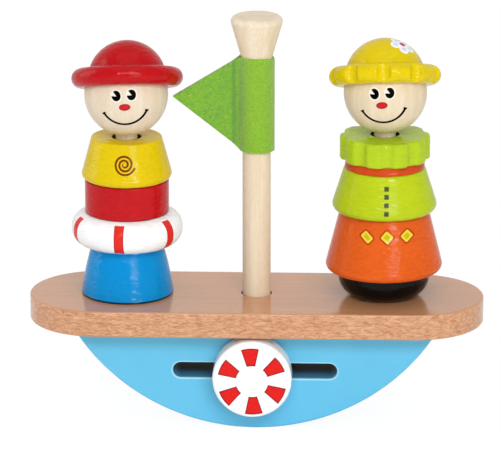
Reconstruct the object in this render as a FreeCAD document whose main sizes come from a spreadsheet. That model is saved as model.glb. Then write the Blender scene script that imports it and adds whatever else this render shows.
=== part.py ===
import FreeCAD, Part
import math
import os
import Sketcher

# A wooden stacking and balancing game: a rocking boat with a mast and a felt pennant,
# a life ring knob that slides along the hull, and two figures stacked from turned pieces.
# Frame: +Z up, X along the boat, the front of the toy looks to -Y, and the origin is the
# lowest point of the rocker, in the middle.

os.makedirs("parts", exist_ok=True)
doc = FreeCAD.newDocument("BalanceBoat")

# Driving dimensions in millimetres and degrees
SIZES = [
    ("deck_length", 220, "plank with half-round ends"),
    ("deck_width", 68.3, ""),
    ("deck_thickness", 12.7, ""),
    ("deck_arris", 1.0, "eased edge of the plank"),
    ("keel_radius", 102.3, "rocker arc"),
    ("keel_depth", 49.0, "from the plank's underside to the lowest point"),
    ("keel_thickness", 44.0, ""),
    ("keel_arris", 1.2, ""),
    ("rocker_flat", 10.0, "planed flat under the arc, where the boat comes to rest"),
    ("slot_length", 79.3, "full-round slot through the rocker"),
    ("slot_height", 7.7, ""),
    ("slot_drop", 19.9, "slot's centre below the plank's underside"),
    ("slot_arris", 0.6, ""),
    ("peg_diameter", 8.0, "two hidden pegs hold plank and rocker together"),
    ("peg_length", 22.0, ""),
    ("peg_depth_in_deck", 8.0, ""),
    ("peg_spacing", 120.0, ""),
    ("peg_end_gap", 0.2, "room for glue at each end of a peg"),
    ("glue_gap", 0.05, "round a glued peg or dowel"),
    ("mast_diameter", 13.6, ""),
    ("mast_clearance", 0.7, "all round the mast in its hole"),
    ("mast_height", 138.3, "above the plank"),
    ("mast_socket_depth", 12.0, "into the rocker"),
    ("mast_flare_height", 22.5, "cone at the mast's head"),
    ("mast_flare_diameter", 26.5, "cone's diameter before its rim is rounded"),
    ("mast_flare_round", 2.7, ""),
    ("mast_foot_chamfer", 1.0, ""),
    ("felt_thickness", 1.3, ""),
    ("felt_loop_clearance", 0.35, "inside the sleeve, on the radius"),
    ("felt_loop_offset", 0.2, "sleeve hangs to the right of the mast"),
    ("felt_squeeze", 0.15, "between the mast's cone and the sleeve that it pushes into"),
    ("sleeve_bottom", 72.3, "above the plank"),
    ("sleeve_height", 46.5, ""),
    ("pennant_gap", 2.4, "between the tip and the left figure's head"),
    ("pennant_tip_rise", 26.0, "tip above the sleeve's bottom edge"),
    ("pennant_play", 0.15, "between the two glued layers of felt"),
    ("pin_diameter", 7.0, "dowel that runs in the slot"),
    ("knob_diameter", 38.2, ""),
    ("knob_thickness", 12.8, ""),
    ("knob_round", 1.8, ""),
    ("knob_gap", 0.8, "between a knob and the rocker's face"),
    ("knob_bore_depth", 8.0, ""),
    ("knob_end_gap", 0.2, "between the dowel's end and the bottom of a bore"),
    ("knob_play", 0.05, "running clearance on the dowel and of the dowel in the slot"),
    ("knob_rest", -1.0, "where the knob stands along the slot"),
    ("stick_diameter", 10.4, "upright dowel of each figure"),
    ("stick_bore_depth", 12.0, "in the base and in the head"),
    ("stick_clearance", 0.2, "of the dowel in the head's hole"),
    ("ring_bore", 14.0, "loose hole through each stacking piece"),
    ("head_flat_drop", 18.0, "flat round the neck hole, below the ball's centre"),
    ("seat_gap", 0.05, "glue between ball and hat"),
    ("hat_tilt", 18.4, "hats sit back on the heads"),
    ("hat_lean", 1.8, "and lean a little to one side"),
    ("brim_diameter", 53.6, ""),
    ("brim_thickness", 9.4, ""),
    ("brim_flat", 0.1, "straight band between the brim's two roundings"),
    ("brim_rise", 7.8, "brim's middle above the ball's centre"),
    ("brim_crease", 1.2, "cove where dome and brim meet"),
    ("sailor_hat_shift", 0.6, "the left figure's hat sits a little to the right on its head"),
    ("sailor_inset", 47.4, "axis of the left figure, from the plank's left end"),
    ("sailor_base_height", 25.0, ""),
    ("sailor_base_bottom", 44.6, "diameter at the foot"),
    ("sailor_base_top", 34.0, ""),
    ("sailor_base_belly", 150.0, "radius of the slightly barrelled side"),
    ("swim_ring_diameter", 53.6, ""),
    ("swim_ring_height", 15.9, ""),
    ("swim_ring_flat", 1.1, "straight band between its two roundings"),
    ("trunk_diameter", 40.6, ""),
    ("trunk_height", 16.5, ""),
    ("shirt_bottom", 45.1, ""),
    ("shirt_top", 33.9, ""),
    ("shirt_height", 20.8, ""),
    ("shirt_round", 2.8, ""),
    ("sailor_neck", 2.9, "bare dowel between shirt and head"),
    ("sailor_head_diameter", 40.2, ""),
    ("sailor_dome_diameter", 37.9, ""),
    ("sailor_dome_rise", 7.0, "dome's centre above the ball's centre"),
    ("girl_inset", 48.4, "axis of the right figure, from the plank's right end"),
    ("girl_base_height", 13.3, ""),
    ("girl_base_diameter", 44.0, ""),
    ("girl_base_round", 10.2, "bowl-shaped foot"),
    ("skirt_bottom", 57.9, ""),
    ("skirt_top", 43.0, ""),
    ("skirt_height", 29.7, ""),
    ("skirt_round", 3.0, ""),
    ("coat_bottom", 52.7, ""),
    ("coat_top", 39.1, ""),
    ("coat_height", 21.4, ""),
    ("coat_round", 3.4, ""),
    ("coat_top_round", 1.5, ""),
    ("scarf_bottom", 38.8, "thin ring between coat and ruff"),
    ("scarf_top", 37.4, ""),
    ("scarf_height", 4.2, ""),
    ("ruff_diameter", 43.3, ""),
    ("ruff_height", 11.9, ""),
    ("ruff_round", 1.4, ""),
    ("girl_neck", 2.7, "bare dowel between ruff and head"),
    ("girl_head_diameter", 39.8, ""),
    ("girl_dome_diameter", 38.7, ""),
    ("girl_dome_rise", 6.7, "dome's centre above the ball's centre"),
    ("ruff_scallops", 10, "coves round the ruff"),
    ("ruff_cut_radius", 5.0, "cutter that mills the coves"),
    ("ruff_cut_depth", 1.6, ""),
    ("ruff_turn", 3.5, "first cove, from the front"),
    ("ruff_blend", 3.0, "rounding between cove and lobe"),
    ("brim_scallops", 10, "coves round the right figure's brim"),
    ("brim_cut_radius", 3.6, ""),
    ("brim_cut_depth", 3.0, ""),
    ("brim_turn", -0.5, ""),
    ("brim_blend", 0.7, ""),
    ("edge_break", 0.7, "small rounding on the turned pieces"),
]

sheet = doc.addObject("Spreadsheet::Sheet", "Sizes")
for row, (alias, size, note) in enumerate(SIZES, 1):
    sheet.set(f"A{row}", alias)
    sheet.set(f"B{row}", str(size))
    sheet.setAlias(f"B{row}", alias)
    sheet.set(f"C{row}", note)
doc.recompute()

NEAR = 1e-4
DECK_LEVEL = "Sizes.keel_depth + Sizes.deck_thickness"
SLOT_LEVEL = "Sizes.keel_depth - Sizes.slot_drop"
parts = []


def value(expression):
    return float(sheet.evalExpression(expression))


def new_body(label):
    body = doc.addObject("PartDesign::Body", label)
    body.Label = label
    parts.append(body)
    return body


def place(part, across="0", level="0"):
    part.setExpression("Placement.Base.x", across)
    part.setExpression("Placement.Base.z", level)


def new_sketch(body, role, name, raised=None):
    sketch = body.newObject("Sketcher::SketchObject", name)
    plane = next(item for item in body.Origin.OriginFeatures if item.Role == role)
    sketch.AttachmentSupport = [(plane, "")]
    sketch.MapMode = "FlatFace"
    if raised:
        sketch.setExpression("AttachmentOffset.Base.z", raised)
    return sketch


def hold(sketch, geometry, point, across, up):
    # ties one point of a sketch to its two expressions, or to an axis where one is "0"
    for kind, axis, expression in (("DistanceX", -2, across), ("DistanceY", -1, up)):
        if expression == "0":
            sketch.addConstraint(Sketcher.Constraint("PointOnObject", geometry, point, axis))
        else:
            number = sketch.addConstraint(
                Sketcher.Constraint(kind, -1, 1, geometry, point, value(expression)))
            sketch.setExpression(f"Constraints[{number}]", expression)


def size_radius(sketch, geometry, expression):
    number = sketch.addConstraint(Sketcher.Constraint("Radius", geometry, value(expression)))
    sketch.setExpression(f"Constraints[{number}]", expression)


def draw_circle(sketch, radius, across="0", up="0"):
    centre = FreeCAD.Vector(value(across), value(up), 0)
    circle = sketch.addGeometry(Part.Circle(centre, FreeCAD.Vector(0, 0, 1), value(radius)))
    hold(sketch, circle, 3, across, up)
    size_radius(sketch, circle, radius)


def draw_outline(sketch, corners, bulges=None):
    # closed outline, anticlockwise; bulges gives the radius of a side that is an arc
    bulges = bulges or {}
    spots = [FreeCAD.Vector(value(across), value(up), 0) for across, up in corners]
    for side, start in enumerate(spots):
        end = spots[(side + 1) % len(spots)]
        if side in bulges:
            radius = value(bulges[side])
            chord = end - start
            outward = FreeCAD.Vector(chord.y, -chord.x, 0).normalize()
            sagitta = radius - math.sqrt(radius ** 2 - (chord.Length / 2) ** 2)
            middle = (start + end) / 2 + outward * sagitta
            sketch.addGeometry(Part.Arc(start, middle, end))
        else:
            sketch.addGeometry(Part.LineSegment(start, end))
    for side, (across, up) in enumerate(corners):
        before = (side - 1) % len(corners)
        sketch.addConstraint(Sketcher.Constraint("Coincident", before, 2, side, 1))
        hold(sketch, side, 1, across, up)
    for side, radius in bulges.items():
        size_radius(sketch, side, radius)


def draw_stadium(sketch, length, height, up="0"):
    # slot outline with full-round ends, centred on the vertical axis
    half = f"({length} - {height}) / 2"
    radius = f"({height}) / 2"
    reach, end, level = value(half), value(radius), value(up)
    normal = FreeCAD.Vector(0, 0, 1)
    right = Part.Circle(FreeCAD.Vector(reach, level, 0), normal, end)
    left = Part.Circle(FreeCAD.Vector(-reach, level, 0), normal, end)
    quarter = math.pi / 2
    sketch.addGeometry(Part.ArcOfCircle(right, -quarter, quarter))
    sketch.addGeometry(Part.LineSegment(
        FreeCAD.Vector(reach, level + end, 0), FreeCAD.Vector(-reach, level + end, 0)))
    sketch.addGeometry(Part.ArcOfCircle(left, quarter, 3 * quarter))
    sketch.addGeometry(Part.LineSegment(
        FreeCAD.Vector(-reach, level - end, 0), FreeCAD.Vector(reach, level - end, 0)))
    for side in range(4):
        sketch.addConstraint(Sketcher.Constraint("Tangent", side, 2, (side + 1) % 4, 1))
    hold(sketch, 0, 3, half, up)
    hold(sketch, 2, 3, f"-({half})", up)
    size_radius(sketch, 0, radius)


def pad(body, sketch, length, both_ways=False):
    feature = body.newObject("PartDesign::Pad", sketch.Name + "_pad")
    feature.Profile = sketch
    feature.setExpression("Length", length)
    if both_ways:
        feature.SideType = "Symmetric"
    return feature


def pocket(body, sketch, length=None, both_ways=False, reverse=False):
    feature = body.newObject("PartDesign::Pocket", sketch.Name + "_cut")
    feature.Profile = sketch
    feature.Reversed = reverse
    if length:
        feature.setExpression("Length", length)
    else:
        feature.Type = "ThroughAll"
    if both_ways:
        feature.SideType = "Symmetric"
    return feature


def turn(body, sketch):
    feature = body.newObject("PartDesign::Revolution", sketch.Name + "_turned")
    feature.Profile = sketch
    feature.ReferenceAxis = (sketch, ["V_Axis"])
    feature.Angle = 360
    return feature


def round_edges(body, radius, pick, name):
    # rounds every edge of the body so far that pick() says yes to
    doc.recompute()
    base = body.Tip
    names = [f"Edge{n}" for n, edge in enumerate(base.Shape.Edges, 1)
             if not edge.Degenerated and pick(edge)]
    if not names:
        raise ValueError(f"{body.Label}: no edge to round for {name}")
    feature = body.newObject("PartDesign::Fillet", name)
    feature.Base = (base, names)
    feature.setExpression("Radius", radius)
    doc.recompute()
    return feature


def ring_at(radius, height):
    # picks the circular edge of this radius at this height
    def pick(edge):
        curve = edge.Curve
        return (isinstance(curve, Part.Circle) and abs(curve.Center.z - value(height)) < NEAR
                and abs(curve.Radius - value(radius)) < NEAR)
    return pick


def turned(label, corners, rounds, across, level, bulges=None):
    # a piece turned on the lathe: its half profile as (radius, height) corners, and the
    # corners that each rounding takes
    body = new_body(label)
    sketch = new_sketch(body, "XZ_Plane", "Profile")
    draw_outline(sketch, corners, bulges)
    turn(body, sketch)
    for radius, numbers in rounds:
        picks = [ring_at(*corners[number]) for number in numbers]
        round_edges(body, radius, lambda edge: any(pick(edge) for pick in picks), "Round")
    place(body, across, level)
    return body


def drill(body, radius, level, across="0", depth=None, upwards=False):
    # a round hole down from this level, or up from it
    sketch = new_sketch(body, "XY_Plane", "Hole", raised=level)
    draw_circle(sketch, radius, across)
    return pocket(body, sketch, depth, reverse=upwards)


def build_deck():
    deck = new_body("deck")
    outline = new_sketch(deck, "XY_Plane", "Outline")
    draw_stadium(outline, "Sizes.deck_length", "Sizes.deck_width")
    pad(deck, outline, "Sizes.deck_thickness")

    def at_rim(edge):
        box = edge.BoundBox
        return box.ZLength < NEAR and edge.Length > value("Sizes.deck_width")
    round_edges(deck, "Sizes.deck_arris", at_rim, "Arris")
    drill(deck, "Sizes.mast_diameter / 2 + Sizes.mast_clearance", "Sizes.deck_thickness")
    for side in ("", "-"):
        drill(deck, "Sizes.peg_diameter / 2 + Sizes.glue_gap", "0", f"{side}Sizes.peg_spacing / 2",
              "Sizes.peg_depth_in_deck", upwards=True)
    place(deck, level="Sizes.keel_depth")


def build_keel():
    keel = new_body("keel")
    profile = new_sketch(keel, "XZ_Plane", "Profile")
    planed = "(Sizes.keel_radius - sqrt(Sizes.keel_radius^2 - (Sizes.rocker_flat / 2)^2))"
    depth = f"(Sizes.keel_depth + {planed})"
    half_chord = f"sqrt({depth} * (2 * Sizes.keel_radius - {depth}))"
    corners = [(f"-{half_chord}", "Sizes.keel_depth"), ("0", f"-{planed}"),
               (half_chord, "Sizes.keel_depth")]
    draw_outline(profile, corners, {0: "Sizes.keel_radius", 1: "Sizes.keel_radius"})
    pad(keel, profile, "Sizes.keel_thickness", both_ways=True)

    def on_arc(edge):
        curve = edge.Curve
        return isinstance(curve, Part.Circle) and abs(curve.Radius - value("Sizes.keel_radius")) < NEAR
    round_edges(keel, "Sizes.keel_arris", on_arc, "Arris")
    flat = new_sketch(keel, "XZ_Plane", "Flat")
    draw_outline(flat, [("-Sizes.rocker_flat", f"-2 * {planed}"), ("Sizes.rocker_flat", f"-2 * {planed}"),
                        ("Sizes.rocker_flat", "0"), ("-Sizes.rocker_flat", "0")])
    pocket(keel, flat, both_ways=True)
    slot = new_sketch(keel, "XZ_Plane", "Slot")
    draw_stadium(slot, "Sizes.slot_length", "Sizes.slot_height", SLOT_LEVEL)
    pocket(keel, slot, both_ways=True)

    def at_slot_rim(edge):
        box = edge.BoundBox
        return box.YLength < NEAR and box.ZMax < value(f"{SLOT_LEVEL} + Sizes.slot_height")
    round_edges(keel, "Sizes.slot_arris", at_slot_rim, "Slot_arris")
    drill(keel, "Sizes.mast_diameter / 2 + Sizes.mast_clearance", "Sizes.keel_depth",
          depth="Sizes.mast_socket_depth")
    for side in ("", "-"):
        drill(keel, "Sizes.peg_diameter / 2 + Sizes.glue_gap", "Sizes.keel_depth",
              f"{side}Sizes.peg_spacing / 2",
              "Sizes.peg_length - Sizes.peg_depth_in_deck + 2 * Sizes.peg_end_gap")


def build_pegs():
    pegs = []
    for side, name in (("", "right_peg"), ("-", "left_peg")):
        peg = doc.addObject("Part::Cylinder", name)
        peg.setExpression("Radius", "Sizes.peg_diameter / 2")
        peg.setExpression("Height", "Sizes.peg_length")
        place(peg, f"{side}Sizes.peg_spacing / 2",
              "Sizes.keel_depth + Sizes.peg_depth_in_deck - Sizes.peg_end_gap - Sizes.peg_length")
        pegs.append(peg)
    group = doc.addObject("Part::Compound", "keel_pegs")
    group.Label = "keel_pegs"
    group.Links = pegs
    parts.append(group)


def build_mast():
    shaft = "Sizes.mast_diameter / 2"
    foot = "-(Sizes.deck_thickness + Sizes.mast_socket_depth)"
    corners = [
        ("0", foot),
        (f"{shaft} - Sizes.mast_foot_chamfer", foot),
        (shaft, f"{foot} + Sizes.mast_foot_chamfer"),
        (shaft, "Sizes.mast_height - Sizes.mast_flare_height"),
        ("Sizes.mast_flare_diameter / 2", "Sizes.mast_height"),
        ("0", "Sizes.mast_height"),
    ]
    turned("mast", corners, [("Sizes.mast_flare_round", [4])], "0", DECK_LEVEL)


def build_pennant():
    # a folded felt flag: a sleeve round the mast and two layers glued together
    loop = "(Sizes.mast_diameter / 2 + Sizes.felt_loop_clearance)"
    body = new_body("pennant")
    sleeve = new_sketch(body, "XY_Plane", "Sleeve")
    draw_circle(sleeve, f"{loop} + Sizes.felt_thickness", "Sizes.felt_loop_offset")
    pad(body, sleeve, "Sizes.sleeve_height")
    flag = new_sketch(body, "XZ_Plane", "Flag")
    root = f"Sizes.felt_loop_offset - {loop} - Sizes.felt_thickness"
    face = "Sizes.deck_length / 2 - Sizes.sailor_inset - Sizes.sailor_head_diameter / 2"
    draw_outline(flag, [
        (f"-({face} - Sizes.pennant_gap)", "Sizes.pennant_tip_rise"),
        (root, "0"),
        ("Sizes.felt_loop_offset", "0"),
        ("Sizes.felt_loop_offset", "Sizes.sleeve_height"),
        (root, "Sizes.sleeve_height"),
    ])
    pad(body, flag, "2 * Sizes.felt_thickness + Sizes.pennant_play", both_ways=True)
    drill(body, loop, "Sizes.sleeve_height", "Sizes.felt_loop_offset")
    squeezed = body.newObject("PartDesign::SubtractiveCone", "Squeezed")
    squeezed.setExpression("Radius1", "Sizes.mast_diameter / 2 + Sizes.felt_squeeze")
    squeezed.setExpression("Radius2", "Sizes.mast_flare_diameter / 2 + Sizes.felt_squeeze")
    squeezed.setExpression("Height", "Sizes.mast_flare_height")
    squeezed.setExpression("Placement.Base.z",
                           "Sizes.mast_height - Sizes.mast_flare_height - Sizes.sleeve_bottom")
    place(body, level=f"{DECK_LEVEL} + Sizes.sleeve_bottom")


def build_slider():
    # the dowel lies on the lower face of the slot, so the knobs hang a little low
    level = f"{SLOT_LEVEL} - (Sizes.slot_height - Sizes.pin_diameter) / 2 + Sizes.knob_play"
    pin = new_body("slider_pin")
    section = new_sketch(pin, "XZ_Plane", "Section")
    draw_circle(section, "Sizes.pin_diameter / 2")
    beyond = "(Sizes.knob_gap + Sizes.knob_bore_depth - Sizes.knob_end_gap)"
    pad(pin, section, f"Sizes.keel_thickness + 2 * {beyond}", both_ways=True)
    place(pin, "Sizes.knob_rest", level)
    for label, facing, side in (("front_knob", 0, "-"), ("back_knob", 180, "")):
        knob = new_body(label)
        face = new_sketch(knob, "XZ_Plane", "Face")
        draw_circle(face, "Sizes.knob_diameter / 2")
        pad(knob, face, "Sizes.knob_thickness")

        def at_rim(edge):
            return isinstance(edge.Curve, Part.Circle)
        round_edges(knob, "Sizes.knob_round", at_rim, "Rim")
        bore = new_sketch(knob, "XZ_Plane", "Bore")
        draw_circle(bore, "Sizes.pin_diameter / 2 + Sizes.knob_play")
        pocket(knob, bore, "Sizes.knob_bore_depth", reverse=True)
        place(knob, "Sizes.knob_rest", level)
        knob.Placement.Rotation = FreeCAD.Rotation(FreeCAD.Vector(0, 0, 1), facing)
        knob.setExpression("Placement.Base.y", f"{side}(Sizes.keel_thickness / 2 + Sizes.knob_gap)")


def mill_coves(body, rim, top):
    # coves milled down through the edge of a disc by a round cutter; rim is "ruff" or "brim"
    cutter = new_sketch(body, "XY_Plane", "Cutter", raised=top)
    radius, turned_by = f"Sizes.{rim}_cut_radius", f"Sizes.{rim}_turn"
    reach = f"(Sizes.{rim}_diameter / 2 + {radius} - Sizes.{rim}_cut_depth)"
    draw_circle(cutter, radius, f"{reach} * sin({turned_by})", f"-{reach} * cos({turned_by})")
    cove = pocket(body, cutter)
    pattern = body.newObject("PartDesign::PolarPattern", "Coves")
    pattern.Originals = [cove]
    pattern.Axis = (cutter, ["N_Axis"])
    pattern.Angle = 360
    pattern.setExpression("Occurrences", f"Sizes.{rim}_scallops")
    body.Tip = pattern


def build_ruff(across, level):
    # its lobes are blended first, so the rounding of the rim follows them
    ruff = new_body("girl_ruff")
    outline = new_sketch(ruff, "XY_Plane", "Outline")
    draw_circle(outline, "Sizes.ruff_diameter / 2")
    pad(ruff, outline, "Sizes.ruff_height")
    mill_coves(ruff, "ruff", "Sizes.ruff_height")

    def upright(edge):
        return isinstance(edge.Curve, Part.Line) and abs(edge.BoundBox.ZLength - edge.Length) < NEAR
    round_edges(ruff, "Sizes.ruff_blend", upright, "Lobes")

    def at_rim(edge):
        return edge.BoundBox.ZLength < NEAR
    round_edges(ruff, "Sizes.ruff_round", at_rim, "Rim")
    drill(ruff, "Sizes.ring_bore / 2", "Sizes.ruff_height")
    place(ruff, across, level)


def build_hat(label, ball, dome, dome_rise, across, level, scalloped=False, shift="0"):
    # turned with its brim in one piece, hollowed to sit on the ball; local origin is the
    # ball's centre, or this shift to the right of it
    body = new_body(label)
    under = "(Sizes.brim_rise - Sizes.brim_thickness / 2)"
    over = "(Sizes.brim_rise + Sizes.brim_thickness / 2)"
    full_round = "(Sizes.brim_thickness - Sizes.brim_flat) / 2"
    outline = new_sketch(body, "XY_Plane", "Outline", raised=under)
    draw_circle(outline, "Sizes.brim_diameter / 2")
    pad(body, outline, "Sizes.brim_thickness")
    round_edges(body, full_round, lambda edge: isinstance(edge.Curve, Part.Circle), "Rim")
    if scalloped:
        mill_coves(body, "brim", over)
        doc.recompute()
        coves = [face for face in body.Tip.Shape.Faces if isinstance(face.Surface, Part.Cylinder)
                 and abs(face.Surface.Radius - value("Sizes.brim_cut_radius")) < NEAR]

        def at_cove(edge):
            return any(edge.isSame(border) for cove in coves for border in cove.Edges)
        round_edges(body, "Sizes.brim_blend", at_cove, "Lobes")
    crown = body.newObject("PartDesign::AdditiveSphere", "Crown")
    crown.setExpression("Radius", f"{dome} / 2")
    crown.setExpression("Angle1", f"asin(({under} - {dome_rise}) / ({dome} / 2))")
    crown.setExpression("Placement.Base.z", dome_rise)
    crease = f"sqrt(({dome} / 2)^2 - ({over} - {dome_rise})^2)"
    round_edges(body, "Sizes.brim_crease", ring_at(crease, over), "Crease")
    seat = body.newObject("PartDesign::SubtractiveSphere", "Seat")
    seat.setExpression("Radius", f"{ball} / 2 + Sizes.seat_gap")
    seat.setExpression("Placement.Base.x", f"-({shift})")
    spot = f"create(<<vector>>; {across} + {shift}; 0; {level})"
    body.setExpression("Placement", f"create(<<placement>>; {spot}; "
                       "create(<<rotation>>; 0; -Sizes.hat_lean; -Sizes.hat_tilt))")


def build_head(label, ball, across, level):
    # a ball with a flat and a blind hole below; local origin is its centre
    body = new_body(label)
    sphere = body.newObject("PartDesign::AdditiveSphere", "Ball")
    sphere.setExpression("Radius", f"{ball} / 2")
    sphere.setExpression("Angle1", f"-asin(Sizes.head_flat_drop / ({ball} / 2))")
    drill(body, "Sizes.stick_diameter / 2 + Sizes.stick_clearance", "-Sizes.head_flat_drop",
          depth="Sizes.stick_bore_depth", upwards=True)
    place(body, across, level)


def base_corners(bottom, top, height):
    bore = "Sizes.stick_diameter / 2 + Sizes.glue_gap"
    floor = f"{height} - Sizes.stick_bore_depth"
    return [("0", "0"), (bottom, "0"), (top, height), (bore, height), (bore, floor), ("0", floor)]


def ring_corners(bottom, top, height):
    bore = "Sizes.ring_bore / 2"
    return [(bore, "0"), (bottom, "0"), (top, height), (bore, height)]


def build_stick(label, bottom, top, across):
    length = f"({top}) - ({bottom})"
    radius = "Sizes.stick_diameter / 2"
    corners = [("0", "0"), (radius, "0"), (radius, length), ("0", length)]
    turned(label, corners, [("Sizes.edge_break", [1, 2])], across, bottom)


def build_sailor():
    across = "-(Sizes.deck_length / 2 - Sizes.sailor_inset)"
    level = DECK_LEVEL
    corners = base_corners("Sizes.sailor_base_bottom / 2", "Sizes.sailor_base_top / 2",
                           "Sizes.sailor_base_height")
    turned("sailor_base", corners, [("Sizes.edge_break", [1, 2])], across, level,
           {1: "Sizes.sailor_base_belly"})
    level += " + Sizes.sailor_base_height"
    stick_foot = f"{level} - Sizes.stick_bore_depth"
    half = "Sizes.swim_ring_diameter / 2"
    turned("sailor_swim_ring", ring_corners(half, half, "Sizes.swim_ring_height"),
           [("(Sizes.swim_ring_height - Sizes.swim_ring_flat) / 2", [1, 2]),
            ("Sizes.edge_break", [0, 3])], across, level)
    level += " + Sizes.swim_ring_height"
    half = "Sizes.trunk_diameter / 2"
    turned("sailor_trunks", ring_corners(half, half, "Sizes.trunk_height"),
           [("Sizes.edge_break", [0, 1, 2, 3])], across, level)
    level += " + Sizes.trunk_height"
    turned("sailor_shirt",
           ring_corners("Sizes.shirt_bottom / 2", "Sizes.shirt_top / 2", "Sizes.shirt_height"),
           [("Sizes.shirt_round", [1]), ("Sizes.edge_break", [0, 2, 3])], across, level)
    level += " + Sizes.shirt_height + Sizes.sailor_neck"
    build_stick("sailor_stick", stick_foot, f"{level} + Sizes.stick_bore_depth", across)
    level += " + Sizes.head_flat_drop"
    ball = "Sizes.sailor_head_diameter"
    build_head("sailor_head", ball, across, level)
    build_hat("sailor_hat", ball, "Sizes.sailor_dome_diameter", "Sizes.sailor_dome_rise", across, level,
              shift="Sizes.sailor_hat_shift")


def build_girl():
    across = "(Sizes.deck_length / 2 - Sizes.girl_inset)"
    level = DECK_LEVEL
    half = "Sizes.girl_base_diameter / 2"
    turned("girl_base", base_corners(half, half, "Sizes.girl_base_height"),
           [("Sizes.girl_base_round", [1]), ("Sizes.edge_break", [2])], across, level)
    level += " + Sizes.girl_base_height"
    stick_foot = f"{level} - Sizes.stick_bore_depth"
    turned("girl_skirt",
           ring_corners("Sizes.skirt_bottom / 2", "Sizes.skirt_top / 2", "Sizes.skirt_height"),
           [("Sizes.skirt_round", [1]), ("Sizes.edge_break", [0, 2, 3])], across, level)
    level += " + Sizes.skirt_height"
    turned("girl_coat",
           ring_corners("Sizes.coat_bottom / 2", "Sizes.coat_top / 2", "Sizes.coat_height"),
           [("Sizes.coat_round", [1]), ("Sizes.coat_top_round", [2]), ("Sizes.edge_break", [0, 3])],
           across, level)
    level += " + Sizes.coat_height"
    turned("girl_scarf",
           ring_corners("Sizes.scarf_bottom / 2", "Sizes.scarf_top / 2", "Sizes.scarf_height"),
           [("Sizes.edge_break", [0, 1, 2, 3])], across, level)
    level += " + Sizes.scarf_height"
    build_ruff(across, level)
    level += " + Sizes.ruff_height + Sizes.girl_neck"
    build_stick("girl_stick", stick_foot, f"{level} + Sizes.stick_bore_depth", across)
    level += " + Sizes.head_flat_drop"
    ball = "Sizes.girl_head_diameter"
    build_head("girl_head", ball, across, level)
    build_hat("girl_hat", ball, "Sizes.girl_dome_diameter", "Sizes.girl_dome_rise", across, level,
              scalloped=True)


build_deck()
build_keel()
build_pegs()
build_mast()
build_pennant()
build_slider()
build_sailor()
build_girl()
doc.recompute()

for item in doc.Objects:
    if "Invalid" in item.State or "Error" in item.State:
        raise RuntimeError(f"{item.Label} did not compute: {item.State}")
for part in parts:
    if part.Shape.isNull() or not part.Shape.isValid():
        raise RuntimeError(f"{part.Label} has no valid shape")
for part in parts:
    part.Shape.exportStep(f"parts/{part.Label}.step")
    box = part.Shape.BoundBox
    print(f"{part.Label}: {len(part.Shape.Solids)} solid, {part.Shape.Volume / 1000:.2f} cm3, "
          f"x {box.XMin:.1f} to {box.XMax:.1f}, y {box.YMin:.1f} to {box.YMax:.1f}, "
          f"z {box.ZMin:.1f} to {box.ZMax:.1f}")
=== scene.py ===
import math

import bpy
from mathutils import Matrix, Vector


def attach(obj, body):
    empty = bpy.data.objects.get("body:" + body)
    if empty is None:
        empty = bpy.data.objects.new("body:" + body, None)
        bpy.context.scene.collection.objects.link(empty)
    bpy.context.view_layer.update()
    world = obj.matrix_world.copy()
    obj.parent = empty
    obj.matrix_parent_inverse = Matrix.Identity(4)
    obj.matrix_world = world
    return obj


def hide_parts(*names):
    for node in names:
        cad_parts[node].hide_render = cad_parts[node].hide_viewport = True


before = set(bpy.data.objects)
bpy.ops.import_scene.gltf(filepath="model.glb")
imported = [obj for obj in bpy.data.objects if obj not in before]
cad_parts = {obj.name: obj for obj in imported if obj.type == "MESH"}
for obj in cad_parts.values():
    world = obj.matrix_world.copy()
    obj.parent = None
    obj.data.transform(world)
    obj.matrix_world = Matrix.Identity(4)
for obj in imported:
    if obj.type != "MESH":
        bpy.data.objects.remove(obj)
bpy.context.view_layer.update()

# A wooden stacking and balancing game: a rocking boat, a felt pennant and two stacked figures.
scene = bpy.context.scene
mm = 0.001
fullTurn = 2 * math.pi
print("frame loaded:", len(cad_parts), "nodes")


def linearColour(hexCode):
    # sRGB hex to the linear colour that Blender's shaders take
    values = [int(hexCode[i:i + 2], 16) / 255 for i in (1, 3, 5)]
    return [v / 12.92 if v <= 0.04045 else ((v + 0.055) / 1.055) ** 2.4 for v in values] + [1.0]


def addNode(tree, kind, inputs=(), **settings):
    # one node with its settings; an input is a value, a socket, or a node whose first output is meant
    node = tree.nodes.new("ShaderNode" + kind)
    for name, choice in settings.items():
        setattr(node, name, choice)
    pairs = inputs.items() if isinstance(inputs, dict) else enumerate(inputs)
    for place, given in pairs:
        if isinstance(given, bpy.types.Node):
            given = given.outputs[0]
        if isinstance(given, bpy.types.NodeSocket):
            tree.links.new(given, node.inputs[place])
        elif given is not None:
            node.inputs[place].default_value = given
    return node


def startMaterial(name, hexCode, centre=(0, 0, 0), turn=(0, 0, 0)):
    # a new material in one colour, with its coordinates in millimetres from a centre on the piece
    material = bpy.data.materials.new(name)
    material.use_nodes = True
    tree = material.node_tree
    coords = addNode(tree, "TexCoord").outputs["Object"]
    place = tuple(c * mm for c in centre)
    spot = addNode(tree, "Mapping", [coords, place, turn, (mm, mm, mm)], vector_type="TEXTURE")
    colour = addNode(tree, "RGB").outputs[0]
    colour.default_value = linearColour(hexCode)
    return {"material": material, "tree": tree, "shader": tree.nodes["Principled BSDF"], "spot": spot,
            "coords": coords, "colour": colour, "bump": None}


def stretched(paint, scale, detail=3.0, roughness=0.55, distortion=0.0):
    # noise whose grain is stretched differently along each axis; scale is in features per millimetre
    tree = paint["tree"]
    vector = addNode(tree, "Mapping", {0: paint["spot"], 3: scale})
    return addNode(tree, "TexNoise", {"Vector": vector, "Scale": 1.0, "Detail": detail,
                                      "Roughness": roughness, "Distortion": distortion})


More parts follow.
